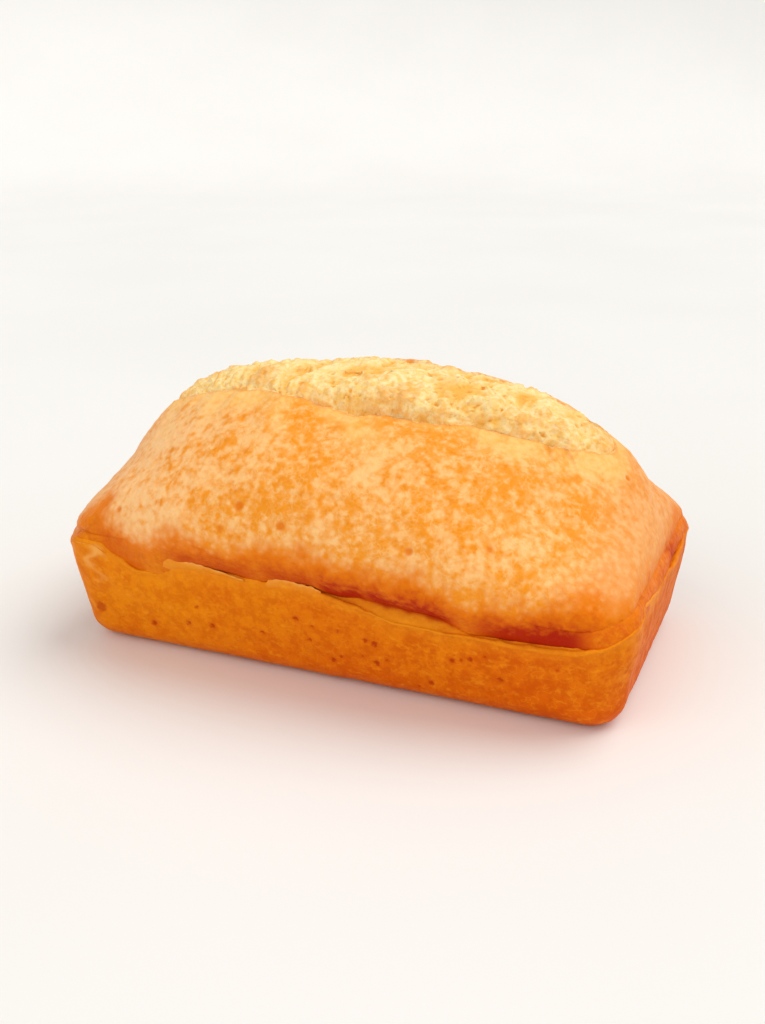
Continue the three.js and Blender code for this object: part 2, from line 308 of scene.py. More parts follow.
class Loaf:
    """Where each part of the loaf lies. Fractions run round it from the front middle."""

    def __init__(self, sizes):
        self.base_half_length = sizes.base_length / MM / 2
        self.base_half_width = sizes.base_width / MM / 2
        self.rim_level = sizes.rim_height / MM
        self.crown_level = sizes.crown_height / MM
        self.tear_length = sizes.split_length / MM / 2 + TEAR_MARGIN_LENGTH
        self.tear_width = sizes.split_width / MM / 2 + TEAR_MARGIN_WIDTH
        self.rim_length = self.base_half_length + RIM_FLARE_END
        self.rim_width = self.base_half_width + RIM_FLARE_SIDE
        self.dome_length = self.rim_length - SHOULDER_INSET_END
        self.dome_width = self.rim_width + SHOULDER_BULGE
        self.slimmest = self.tear_width / self.dome_width

    def rim_length_round(self):
        return 4 * (self.rim_length + self.rim_width - (2 - HALF_PI) * RIM_CORNER)

    def rim_distance(self, fraction):
        return self.rim_length_round() * np.where(fraction > 0.5, fraction - 1, fraction)

    def rim_height(self, fraction, shortest=0):
        run = self.rim_distance(fraction)
        turn = 2 * np.pi * fraction
        height = self.rim_level + 0.5 * noise(12 * np.sin(turn), 12 * np.cos(turn), 0, 3)
        for at, reach, rise in RIM_WAVES:
            if reach > shortest:
                height = height + rise * bump(run, at, reach)
        return height

    def openness(self, fraction):
        """1 where the dome has drawn in behind the rim, 0 where the two are fused."""
        run = self.rim_distance(fraction)
        drawn_in = [share * bump(run, at, reach) for at, reach, share in OPEN_STRETCHES]
        return np.clip(np.max(drawn_in, axis=0) + 0.15 * noise(run / 9, 0, 0, 76), 0, 1)

    def groove_depth(self, fraction):
        return lerp(GROOVE_SHALLOW, GROOVE_DEEP, self.openness(fraction))

    def ledge(self, fraction):
        return bump(self.rim_distance(fraction), *LEDGE)

    def groove_height(self, fraction):
        gap = GROOVE_GAP * self.openness(fraction) + LEDGE_GAP * self.ledge(fraction)
        return self.rim_height(fraction) + gap

    def flake_rise(self, fraction):
        run = self.rim_distance(fraction)
        rise = np.zeros_like(run)
        for start, end, height in FLAKES:
            t = np.clip((run - start) / (end - start), 0, 1)
            rise += height * np.minimum(t * 14, 1) * (1 - t) ** 0.6
        return rise

    def flake_start(self, fraction):
        """1 at the torn edge where each flake starts, fading out along it."""
        run = self.rim_distance(fraction)
        near = [np.exp(-(((run - start) / (end - start)) / 0.16) ** 2) for start, end, _ in FLAKES]
        return np.max(near, axis=0)

    def sideness(self, x):
        """1 along the middle of the long sides, 0 at the corners and ends."""
        return 1 - smoothstep(np.abs(x), 45, self.rim_length - 6)

    def shoulder_swell(self, x):
        return lerp(-SHOULDER_INSET_END, SHOULDER_BULGE, self.sideness(x))

    def shoulder_height(self, fraction, x):
        rise = lerp(SHOULDER_RISE_END, SHOULDER_RISE_SIDE, self.sideness(x))
        steady = self.rim_height(fraction, 20) + rise
        return np.maximum(steady, self.groove_height(fraction) + 2)

    def dome_height(self, fraction, half_length, half_width, x, towards_end):
        foot = self.shoulder_height(fraction, x)
        side = np.sqrt(np.clip(1 - (half_width / self.dome_width) ** 2, 0, 1))
        end = np.sqrt(np.clip(1 - (half_length / self.dome_length) ** END_SLOPE, 0, 1))
        return foot + (self.crown_level - foot) * lerp(side, end, towards_end**2.6)

    def tear_wander(self, x, y):
        """How the split's edge wanders sideways, apart on its two sides."""
        wander = 0
        for height, size, seed in TEAR_WANDERS:
            front, back = (noise(x / size, 0, 0, n) for n in (seed, seed + 1))
            wander = wander + height * np.where(y < 0, front, back)
        return wander

    def crust_lift(self, x, y):
        """1 where the crust's edge is lifted over the crumb, 0 where it has sunk."""
        turn = np.where(y < 0, -x - 14, x + 22)
        return smoothstep(turn + 18 * noise(x / 30, np.where(y < 0, 0, 5), 0, 41), -22, 22)

    def wall(self, z, fraction, swell=0):
        """The tin's wall at a height, or a little outside it."""
        lean = z / self.rim_level
        return rounded_rectangle(
            self.base_half_length + RIM_FLARE_END * lean + swell,
            self.base_half_width + RIM_FLARE_SIDE * lean + swell,
            lerp(BASE_CORNER, RIM_CORNER, lean), fraction)

    def rim(self, outset, fraction):
        """The rim's outline, or one a little outside it."""
        return rounded_rectangle(
            self.rim_length + outset, self.rim_width + outset, RIM_CORNER, fraction)

    def rim_ring(self, outset, z, fraction):
        return points(*self.rim(outset, fraction), z)

    def dome_point(self, down, fraction):
        """The dome's crust, from the tear (0) down to the shoulder's widest line (1)."""
        swing = lerp(np.arccos(self.slimmest), 0, down)
        slim = np.cos(swing)
        power = np.log(self.tear_length / self.dome_length) / np.log(self.slimmest)
        half_length = self.dome_length * slim**power
        half_width = self.dome_width * slim
        radius = np.minimum(RIM_CORNER + CORNER_GROWTH * (1 - slim), 0.96 * half_width)
        square = np.clip((slim - self.slimmest) / (1 - self.slimmest), 0, 1) ** CORNER_FALL
        box_x, box_y = rounded_rectangle(half_length, half_width, radius, fraction)
        angle = 2 * np.pi * fraction
        x = lerp(half_length * np.sin(angle), box_x, square)
        y = lerp(-half_width * np.cos(angle), box_y, square)
        y = y * lerp(1, (self.rim_width + self.shoulder_swell(x)) / self.dome_width, down)
        towards_end = np.minimum(1, np.abs(x) / np.maximum(half_length, 1))
        z = self.dome_height(fraction, half_length, half_width, x, towards_end)
        places = points(x, y, z)
        broad = noise(places[..., 0] / 34, places[..., 1] / 30, places[..., 2] / 26, 11)
        push = 1.1 * broad + 0.45 * field(places, 12, 12)
        push = push * np.sin(np.pi * np.minimum(1, 2 * down))
        near_tear = (1 - down) ** 3 * np.minimum(1, np.abs(y) / half_width)
        curl = lerp(-CRUST_SAG, CRUST_CURL, self.crust_lift(x, y))
        places[..., 2] += push * np.sin(swing) + near_tear * curl
        places[..., 1] += push * slim * np.clip(y / 14, -1, 1)
        places[..., 1] += near_tear * self.tear_wander(x, y)
        return places


# ---- rings and meshes ----


def outward(places):
    """Unit normals of a grid of points laid out as rings of a closed form."""
    down = np.gradient(places, axis=0)
    along = np.roll(places, -1, axis=1) - np.roll(places, 1, axis=1)
    normal = np.cross(down, along)
    return normal / np.maximum(np.linalg.norm(normal, axis=-1, keepdims=True), 1e-9)


def as_mesh(form, name):
    """The mesh of a finished bmesh, which is freed."""
    mesh = bpy.data.meshes.new(name)
    form.to_mesh(mesh)
    form.free()
    return mesh


def vertex_values(mesh, name):
    """Where a mesh's points are, or which way they face, one point to a row."""
    values = np.empty(len(mesh.vertices) * 3)
    mesh.vertices.foreach_get(name, values)
    return values.reshape(-1, 3)


class Rings:
    """Rings of points laid round the loaf one after another, with marks kept on them."""

    def __init__(self, *marks):
        self.places = []
        self.marks = {mark: [] for mark in marks}

    def add(self, places, **marks):
        self.places.append(np.broadcast_to(places, (1, AROUND, 3)))
        for mark, values in self.marks.items():
            values.append(np.broadcast_to(marks.get(mark, 0), (1, AROUND)))

    def joined(self):
        marks = {mark: np.concatenate(values) for mark, values in self.marks.items()}
        return np.concatenate(self.places), marks


def wrapped_grid(name, places, marks):
    """A closed mesh: a grid laid round the loaf on rings of places, top ring first.

    The first and last rings are single points, so that the grid closes at two poles.
    """
    rings, around = places.shape[:2]
    flat = bmesh.new()
    bmesh.ops.create_grid(flat, x_segments=around, y_segments=rings - 1, size=1)
    mesh = as_mesh(flat, name)
    x, y, _ = vertex_values(mesh, "co").T
    ring = np.rint((1 - y) / 2 * (rings - 1)).astype(int)
    column = np.rint((1 + x) / 2 * around).astype(int)
    mesh.vertices.foreach_set("co", (places[ring, column % around] * MM).ravel())
    marks = {mark: np.broadcast_to(v, (rings, around)) for mark, v in marks.items()}
    add_marks(mesh, {mark: v[ring, column % around] for mark, v in marks.items()})

    meeting = (column == 0) | (column == around) | (ring == 0) | (ring == rings - 1)
    closed = bmesh.new()
    closed.from_mesh(mesh)
    closed.verts.ensure_lookup_table()
    seam = [closed.verts[n] for n in np.flatnonzero(meeting)]
    bmesh.ops.remove_doubles(closed, verts=seam, dist=1e-7)
    closed.to_mesh(mesh)
    closed.free()
    return mesh


def add_marks(mesh, marks):
    """Numbers kept on the points, which the finishes read."""
    for mark, values in marks.items():
        attribute = mesh.attributes.new(mark, "FLOAT", "POINT")
        attribute.data.foreach_set("value", values.astype(np.float32).ravel())
    mesh.shade_smooth()
    mesh.update()


def add_piece(mesh, finish):
    """Puts a finished mesh in the scene as part of the loaf."""
    mesh.materials.append(finish)
    piece = bpy.data.objects.new(mesh.name, mesh)
    bpy.context.scene.collection.objects.link(piece)
    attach(piece, "root")
    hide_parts(NODE)


# ---- the tin's crust ----

# (height, kind, size, seed) of each layer of its relief.
WALL_RELIEF = [(0.22, field, 11, 82), (0.13, field, 4, 83), (0.07, ridges, 2.2, 84)]
BASE_CRAGS = [(0.3, ridges, 4, 86), (0.2, ridges, 2, 87)]
TUCKED_IN = [(4, 0.2), (1.2, 0.5)]  # (behind the groove, above it) of two hidden rings


def pin_hole_distance(places, listed, cell, radius, share, seed):
    """Distance to the nearest pin-hole: those listed, and scattered ones elsewhere."""
    scattered = spots(places, cell, radius, share, seed)
    front = (places[..., 1] < FRONT_FROM) & (np.abs(places[..., 0]) < FRONT_REACH)
    nearest = np.where(front, FAR_AWAY, scattered)
    for hole in listed:
        if len(hole) == 2:
            away = np.hypot(places[..., 0] - hole[0], places[..., 2] - hole[1])
            away = np.where(places[..., 1] < 0, away, FAR_AWAY)
        else:
            away = np.linalg.norm(places - np.array(hole), axis=-1)
        size = radius * (0.9 + 0.3 * np.sin(7 * hole[0]))
        nearest = np.minimum(nearest, away - size)
    return nearest


class TornRim:
    """The torn rim of the tin's crust, all the way round."""

    def __init__(self, loaf, fraction):
        run = loaf.rim_distance(fraction)
        flake = loaf.flake_rise(fraction)
        rim_x, _ = loaf.rim(0, fraction)
        self.run = run
        self.lip = loaf.rim_height(fraction) + 0.35 * noise(run / 3.1, 0, 0, 71)
        self.groove = loaf.groove_height(fraction)
        self.depth = loaf.groove_depth(fraction)
        self.opened = loaf.openness(fraction)
        self.ledge = loaf.ledge(fraction)
        self.flaked = np.minimum(flake, 1)
        self.proud = lerp(LIP_SUNK, LIP, self.opened)
        ragged = flake * (0.12 * noise(run / 2.3, 0, 0, 72) + 0.1 * noise(run / 0.9, 0, 0, 73))
        self.crest = self.lip + flake + ragged
        at_ends = 1 - loaf.sideness(rim_x)
        lean_in = SHOULDER_INSET_END * (flake / SHOULDER_RISE_END) ** 2 * at_ends
        self.lean = 0.3 * self.opened * noise(run / 7, 0, 0, 74) - lean_in
        thick = lerp(lerp(LIP_THIN, LIP_THICK, self.opened), LIP_THIN, self.flaked)
        self.thick = lerp(thick, LEDGE_THICK, self.ledge) * (1 + 0.2 * noise(run / 5, 0, 0, 75))
        self.sheet = self.flaked * (0.45 + 0.55 * loaf.flake_start(fraction))
        self.bleed = noise(run / 2.6, 0, 0, 77) * self.ledge


def groove_rings(rings, loaf, rim, fraction):
    """From inside the loaf out to the groove, and down the ledge to the lip."""
    # The rings hidden in the groove are painted fully red: partly the crust's own browning, partly
    # painted shade.
    rings.add([0, 0, INSIDE_TIN], fold=1)
    rings.add(loaf.rim_ring(-14, rim.groove - 3, fraction), fold=1)
    for behind, above in TUCKED_IN:
        rings.add(loaf.rim_ring(-rim.depth - behind, rim.groove + above, fraction), fold=1)
    dip = 0.4 * rim.opened * (1 - rim.ledge)
    foot = lerp(rim.lip - 0.2, rim.lip + 0.55, rim.ledge) - dip
    inner = rim.proud - 2 * rim.thick
    edge = lerp(np.minimum(inner, -0.5 * rim.depth), inner - 0.15, rim.ledge)
    red_reach = lerp(0.9, 3.2, rim.ledge)
    for n in range(LEDGE_RINGS):
        t = n / (LEDGE_RINGS - 1)
        z = lerp(rim.groove, foot, t)
        ring = loaf.rim_ring(lerp(-rim.depth - 0.5, edge, t), z, fraction)
        # Red near the groove: partly the crust's own deeper browning, partly painted shade of the
        # groove.
        red = rim.opened * (1 - smoothstep(rim.groove - z + 0.7 * rim.bleed, 0.1, red_reach))
        # lip_edge paints a highlight that lightens the ledge where it lies in the dome's shade.
        rings.add(ring, fold=red, lip_edge=0.6 * t * rim.ledge)


def lip_rings(rings, loaf, rim, fraction):
    """Over the torn lip and the flakes that stand on it."""
    # Strength of the painted highlight along the lip, stronger on the flakes and the ledge.
    edge = np.maximum(lerp(0.1, 0.8, rim.flaked), rim.ledge)
    for turn, share in LIP_TURNS:
        roll = np.where(turn > HALF_PI, lerp(rim.thick, -0.35, rim.ledge), rim.thick)
        outset = rim.proud + rim.lean - rim.thick + rim.thick * np.cos(turn)
        ring = loaf.rim_ring(outset, rim.crest - roll * (1 - np.sin(turn)), fraction)
        rings.add(ring, lip_edge=edge * share, film=rim.sheet * share)
    below = lerp(rim.lip, rim.crest, 0.4) - rim.thick - 0.3
    rings.add(loaf.rim_ring(rim.proud + 0.5 * rim.lean, below, fraction), film=0.5 * rim.sheet)


def peeled_film(run, z, below_lip):
    """1 on the curl of film that peels down the wall, fading out at its sides and foot."""
    swung = 2 * np.pi * below_lip / PEEL_TURN + noise(below_lip / 4, 0, 0, 62)
    from_curl = (run - PEELED_AT - PEEL_SWING * np.sin(swung)) / PEEL_WIDTH
    from_curl = from_curl + 0.6 * noise(run / 1.7, z / 1.7, 0, 63)
    return np.exp(-(from_curl**2)) * bump(below_lip, 0, PEEL_REACH)


def wall_rings(rings, loaf, rim, fraction):
    """Down the wall, which ripples a little and stands proud with the lip at its top."""
    for n in range(WALL_RINGS + 1):
        t = n / WALL_RINGS
        z = lerp(rim.lip - LIP_DEPTH, BASE_EDGE, t)
        ripple = WALL_RIPPLE * noise(fraction * 40, z / 14, 0, 61) * np.sin(np.pi * t)
        hug = rim.proud * np.exp(-(((rim.lip - z) / LIP_FADE) ** 2))
        wall = points(*loaf.wall(z, fraction, hug + ripple), z)
        rings.add(wall, film=peeled_film(rim.run, z, rim.lip - z))


def base_rings(rings, loaf, fraction):
    """Round the foot of the wall and in under the base."""
    for n in range(1, EDGE_RINGS + 1):
        turn = HALF_PI * n / EDGE_RINGS
        z = BASE_EDGE * (1 - np.sin(turn))
        inset = BASE_EDGE * (1 - np.cos(turn))
        lean = z / loaf.rim_level
        radius = max(lerp(BASE_CORNER, RIM_CORNER, lean) - inset, SMALLEST_CORNER)
        x, y = rounded_rectangle(
            loaf.base_half_length + RIM_FLARE_END * lean - inset,
            loaf.base_half_width + RIM_FLARE_SIDE * lean - inset, radius, fraction)
        foot = points(x, y, z)
        rings.add(foot)
    for n in range(1, BASE_RINGS + 1):
        rings.add(foot * [1 - n / BASE_RINGS, 1 - n / BASE_RINGS, 1])


def tin_crust_mesh(loaf):
    """Base, walls, torn lip and ledge, closed inside the loaf."""
    fraction = np.arange(AROUND)[None, :] / AROUND
    rim = TornRim(loaf, fraction)
    rings = Rings("fold", "lip_edge", "film")
    groove_rings(rings, loaf, rim, fraction)
    lip_rings(rings, loaf, rim, fraction)
    first_wall = len(rings.places)
    wall_rings(rings, loaf, rim, fraction)
    base_rings(rings, loaf, fraction)
    places, marks = rings.joined()

    number = np.arange(len(places))[:, None]
    first_base = len(places) - BASE_RINGS
    on_wall = smoothstep(number, first_wall - 4, first_wall + 3)
    on_wall = on_wall * (1 - smoothstep(places[..., 2], 2.5, 0.3))
    on_base = smoothstep(number, first_base - 3, first_base + 1)
    holes = pin_hole_distance(places, PIN_HOLES, cell=10, radius=0.8, share=0.35, seed=81)
    relief = layered(places, WALL_RELIEF) - PIN_HOLE_DEPTH * smoothstep(-holes, -0.5, 0.5)
    inner = (number >= 4) & (number < first_wall - 3)
    relief = relief * on_wall + inner * 0.2 * field(places, 1.6, 85)
    places = places + outward(places) * relief[..., None]
    crags = 0.25 + layered(places, BASE_CRAGS)
    places[..., 2] += on_base * np.clip(crags, 0, 1)
    places[..., 2] = np.maximum(places[..., 2], 0)
    places[-1] = places[-1].mean(axis=0)

    from_scorch = np.linalg.norm(places - np.array(SCORCHED), axis=-1)
    marks["scorch"] = np.exp(-((from_scorch / SCORCH_REACH) ** 4))
    marks["hole"] = np.minimum(holes, 4)
    marks["rise"] = places[..., 2] - rim.lip
    marks["underside"] = on_base
    return wrapped_grid("tin_crust", places, marks)


# ---- the dome's crust ----

# (height, kind, size, seed) of each layer of its relief.
DOME_RELIEF = [(0.3, field, 7, 94), (0.17, ridges, 3.1, 95), (0.12, ridges, 1.7, 96)]
NOTCH_DEPTH = 8
MOSTLY_SIDEWAYS = [0.6, 1, 0]


class TornEdge:
    """The edge of the dome's crust along the split, frayed and notched."""

    def __init__(self, loaf, fraction):
        angle = 2 * np.pi * fraction
        run = loaf.rim_distance(fraction)
        self.inward = points(-np.sin(angle), np.cos(angle), 0)
        self.line = loaf.dome_point(np.zeros((1, 1)), fraction)
        x, y = self.line[..., 0], self.line[..., 1]
        self.jag = 0.9 * noise(x / 2.6, y / 2.6, 0, 91)
        rough = 0.5 + 0.5 * noise(run / 17, 0, 0, 89)
        frayed = 0.9 * noise(run / 5.3, 0, 0, 97) + rough * 0.7 * noise(run / 2.1, 0, 0, 98)
        notched = NOTCH_DEPTH * rough * np.maximum(noise(run / 3.9, 0, 0, 99) - 0.5, 0)
        along_sides = 1 - smoothstep(np.abs(x), 0.8 * loaf.tear_length, loaf.tear_length)
        self.frayed = frayed * lerp(0.4, 1, along_sides)
        self.notched = notched * along_sides

    def shifted(self, ring, distance):
        """A ring moved towards the split's middle line, mostly sideways."""
        return ring + self.inward * distance[..., None] * MOSTLY_SIDEWAYS


def tear_rings(rings, loaf, edge):
    """From inside the loaf out to the rounded edge of the crust along the split."""
    rings.add([0, 0, loaf.crown_level - TEAR_POLE_DEPTH])
    rings.add(edge.line * [0.75, 0.6, 1] - [0, 0, 9])
    for inward, below in TEAR_TURNS:
        ring = edge.line + edge.inward * inward - [0, 0, below]
        rings.add(edge.shifted(ring, edge.jag + edge.frayed - edge.notched))


def dome_rings(rings, loaf, edge, fraction):
    """From the split down to the shoulder's widest line."""
    for n in range(DOME_RINGS + 1):
        down = (n / DOME_RINGS) ** 1.12
        ring = loaf.dome_point(np.full((1, 1), down), fraction)
        near_tear = np.exp(-(((1 - np.cos(np.pi * down / 2)) ** 0.5) / 0.16) ** 2)
        rings.add(edge.shifted(ring, (edge.frayed - edge.notched) * near_tear))


def shoulder_rings(rings, loaf, fraction):
    """From the shoulder in to the groove, and closed inside the loaf."""
    groove = loaf.groove_height(fraction)
    depth = loaf.groove_depth(fraction)
    rim_x, _ = loaf.rim(0, fraction)
    for n in range(1, SHOULDER_RINGS + 1):
        down = n / SHOULDER_RINGS
        bulging = lerp((1 - down) ** 2, np.cos(HALF_PI * down), loaf.sideness(rim_x))
        x, y = rounded_rectangle(
            loaf.rim_length + lerp(-depth, -SHOULDER_INSET_END, bulging),
            loaf.rim_width + lerp(-depth, loaf.shoulder_swell(rim_x), bulging),
            RIM_CORNER, fraction)
        rings.add(points(x, y, lerp(loaf.shoulder_height(fraction, x), groove - 0.8, down)))
    rings.add(loaf.rim_ring(-depth - 2.5, groove - 1.6, fraction))
    rings.add(loaf.rim_ring(-12, groove - 4, fraction))
    rings.add([0, 0, INSIDE_DOME])


def dome_crust_mesh(loaf):
    """The crown's crust, from inside the groove up to the torn edge of the split."""
    fraction = np.arange(AROUND)[None, :] / AROUND
    edge = TornEdge(loaf, fraction)
    rings = Rings()
    tear_rings(rings, loaf, edge)
    first_dome = len(rings.places)
    dome_rings(rings, loaf, edge, fraction)
    shoulder_rings(rings, loaf, fraction)
    places, marks = rings.joined()

    number = np.arange(len(places))[:, None]
    shown = smoothstep(number, first_dome - 4, first_dome + 2)
    shown = shown * smoothstep(number, len(places) - 4, len(places) - 9)
    z = places[..., 2]
    run = loaf.rim_distance(fraction)
    from_fold = z - loaf.groove_height(fraction)
    wobble = 1.2 * noise(run / 5, z / 5, 0, 92)
    pits = pin_hole_distance(places, DOME_PITS, cell=13, radius=1.1, share=0.3, seed=93)
    relief = layered(places, DOME_RELIEF) - PIT_DEPTH * smoothstep(-pits, -0.9, 0.8)
    relief = relief * shown * lerp(0.4, 1, smoothstep(from_fold, 0, 6))
    places = places + outward(places) * relief[..., None]

    x = places[..., 0]
    paler_ends = 4 * smoothstep(x, 88, 100) + 8 * smoothstep(-x, 84, 100)
    # Where the band above the groove is painted darker: where the groove is deep, and along the
    # listed fused stretches; partly browning, partly painted shade.
    browned_and_shaded = np.max([share * bump(run, at, reach) for at, reach, share in BROWNED_AND_SHADED], axis=0)
    marks["fold"] = from_fold + wobble + paler_ends
    marks["deep"] = np.maximum(loaf.openness(fraction), browned_and_shaded)
    marks["from_tear"] = np.clip((number - first_dome) / DOME_RINGS, 0, 1)
    marks["hole"] = np.minimum(pits, 4)
    marks["torn"] = 1 - smoothstep(number, first_dome - 2, first_dome + 4)
    return wrapped_grid("dome_crust", places, marks)


# ---- the torn crumb ----

# (height, kind, size, seed) of each layer of its lumps, and of the grain on them.
CRUMB_LUMPS = [(1.2, field, 9, 101), (0.7, lobes, 4.6, 102), (0.4, ridges, 2.6, 103)]
CRUMB_GRAIN = [(0.35, field, 1.5, 104), (0.28, ridges, 1.1, 108)]


def crumb_blank():
    """A flat closed cushion from -1 to 1, with its underside at -1."""
    across, along = CRUMB_GRID
    heap = bmesh.new()
    bmesh.ops.create_grid(heap, x_segments=along, y_segments=across, size=1)
    brim = [edge for edge in heap.edges if edge.is_boundary]
    skirt = bmesh.ops.extrude_edge_only(heap, edges=brim)["geom"]
    lowered = [v for v in skirt if isinstance(v, bmesh.types.BMVert)]
    bmesh.ops.translate(heap, verts=lowered, vec=(0, 0, -1))
    lower_brim = [edge for edge in heap.edges if edge.is_boundary]
    bmesh.ops.holes_fill(heap, edges=lower_brim, sides=0)
    bmesh.ops.recalc_face_normals(heap, faces=heap.faces)
    return as_mesh(heap, "torn_crumb")


def crumb_form(loaf, u, v, low):
    """The heaped crumb without its lumps, and how far out each of its points lies."""
    half_length = loaf.tear_length - TEAR_MARGIN_LENGTH
    half_width = loaf.tear_width - TEAR_MARGIN_WIDTH
    v = lerp(v, np.sin(HALF_PI * v), 0.6)
    disc_x = CRUMB_OVERLAP * u * np.sqrt(1 - v * v / 2)
    disc_y = CRUMB_OVERLAP * v * np.sqrt(1 - u * u / 2)
    r = np.hypot(disc_x, disc_y)
    fraction = (np.arctan2(disc_x, -disc_y) / (2 * np.pi)) % 1
    x = half_length * disc_x
    y = half_width * disc_y
    towards_end = np.abs(disc_x) / np.maximum(r, 1e-6)
    z = loaf.dome_height(
        fraction, loaf.tear_length * r, loaf.tear_width * r, x, np.minimum(towards_end, 1))
    across = np.minimum(r, 1)
    cleft = 5 * noise(x / 26, 0, 0, 51) - 3
    shelf = SHELF_DROP * smoothstep(y - cleft + 1.5 * noise(x / 5, 0, 0, 54), -0.9, 0.9)
    hump = 1.35 - across**6 - 0.8 * np.exp(-(((y - cleft + 2) / 2.6) ** 2))
    torn = 1 - 2 * np.abs(noise(x / 20, y / 11, 0, 52))
    z = z + CRUMB_RISE * hump - shelf * (1 - across**4) + 0.9 * torn
    z -= CRUMB_TUCK * smoothstep(r, 0.985, CRUMB_OVERLAP) + CRUMB_THICKNESS * (low < -0.5)
    y = y + np.minimum(1, np.abs(y) / half_width) * loaf.tear_wander(x, y)
    return points(x, y, z), r


def crumb_lumps(smooth):
    """How far the crumb's lumps stand out, and the distance to its nearest pore."""
    bent = smooth + 2.2 * points(field(smooth, 6, 106), field(smooth, 6, 107), 0)
    strained = bent * [1, 0.6, 1]
    lumps = layered(strained, CRUMB_LUMPS) + layered(smooth, CRUMB_GRAIN)
    pores = np.minimum(
        spots(smooth, cell=3.4, radius=0.95, share=0.55, seed=105),
        spots(smooth, cell=2.1, radius=0.5, share=0.6, seed=115))
    lumps -= PORE_DEPTH * smoothstep(-pores, -0.4, 0.4)
    return lumps, pores


def torn_crumb_mesh(loaf):
    """The crumb that has risen through the split, closed underneath."""
    mesh = crumb_blank()
    smooth, r = crumb_form(loaf, *vertex_values(mesh, "co").T)
    mesh.vertices.foreach_set("co", (smooth * MM).ravel())
    mesh.update()
    lumps, pores = crumb_lumps(smooth)
    held = 1 - smoothstep(r, 1.03, CRUMB_OVERLAP)
    places = smooth + vertex_values(mesh, "normal") * (lumps * held)[:, None]
    mesh.vertices.foreach_set("co", (places * MM).ravel())
    add_marks(mesh, {"pore": pores, "lump": lumps, "brink": r})
    return mesh


# ---- the loose flakes ----


def flake_form(loaf, along, up, at, length, first_rise, last_rise, lean, curl):
    """One flake's sheet, standing behind the lip, leaning out and curling at its top."""
    run = at + length * (along - 0.5) + 0.8 * up * noise(up * 3, at, 0, 121)
    fraction = (run / loaf.rim_length_round()) % 1
    rise = lerp(first_rise, last_rise, along) * (1 + 0.12 * noise(run / 1.6, at, 0, 122))
    foot = loaf.rim_height(fraction) - FLAKE_ROOT
    top = loaf.rim_height(fraction, 20) + rise
    steep = np.where(first_rise > last_rise, along, 1 - along)
    reached = up * np.minimum(1, 22 * steep + 0.4 * up)
    z = lerp(foot, np.maximum(top, foot + 0.3), reached)
    bow = reached**2 * (0.6 + 0.8 * noise(run / 4, at, 0, 123))
    leaning = lean * reached * rise / max(first_rise, last_rise)
    below = RIM_FLARE_SIDE * np.clip(1 - z / loaf.rim_level, 0, 1)
    outset = FLAKE_OUTSET + leaning + curl * bow - FLAKE_TUCK * (1 - reached) ** 2 - below
    return loaf.rim_ring(outset, z, fraction)


def crust_flakes_mesh(loaf):
    """Thin flakes of crust that have lifted off along the rim, each one closed."""
    flakes = bmesh.new()
    for at, length, first_rise, last_rise, lean, curl in LOOSE_FLAKES:
        sheet = bmesh.new()
        segments = 8 + 3 * length
        bmesh.ops.create_grid(sheet, x_segments=segments, y_segments=FLAKE_RINGS, size=1)
        unit = np.array([v.co for v in sheet.verts])
        along, up = (1 + unit[:, 0]) / 2, (1 + unit[:, 1]) / 2
        places = flake_form(loaf, along, up, at, length, first_rise, last_rise, lean, curl)
        start = 1 - along if first_rise > last_rise else along
        torn = sheet.verts.layers.float.new("torn")
        for vertex, place, share in zip(sheet.verts, places, np.maximum(up**5, start**9)):
            vertex.co = Vector(place) * MM
            vertex[torn] = share
        bmesh.ops.solidify(sheet, geom=sheet.faces[:], thickness=FLAKE_THICKNESS * MM)
        bmesh.ops.recalc_face_normals(sheet, faces=sheet.faces)
        flake = as_mesh(sheet, "flake")
        flakes.from_mesh(flake)
        bpy.data.meshes.remove(flake)
    mesh = as_mesh(flakes, "crust_flakes")
    mesh.shade_smooth()
    return mesh


# ---- the finishes ----


def colour(red, green, blue):
    """A colour from everyday 0 to 255 values, as the shader wants it."""
    share = np.array([red, green, blue]) / 255
    linear = np.where(share <= 0.04045, share / 12.92, ((share + 0.055) / 1.055) ** 2.4)
    return (*(float(c) for c in linear), 1.0)


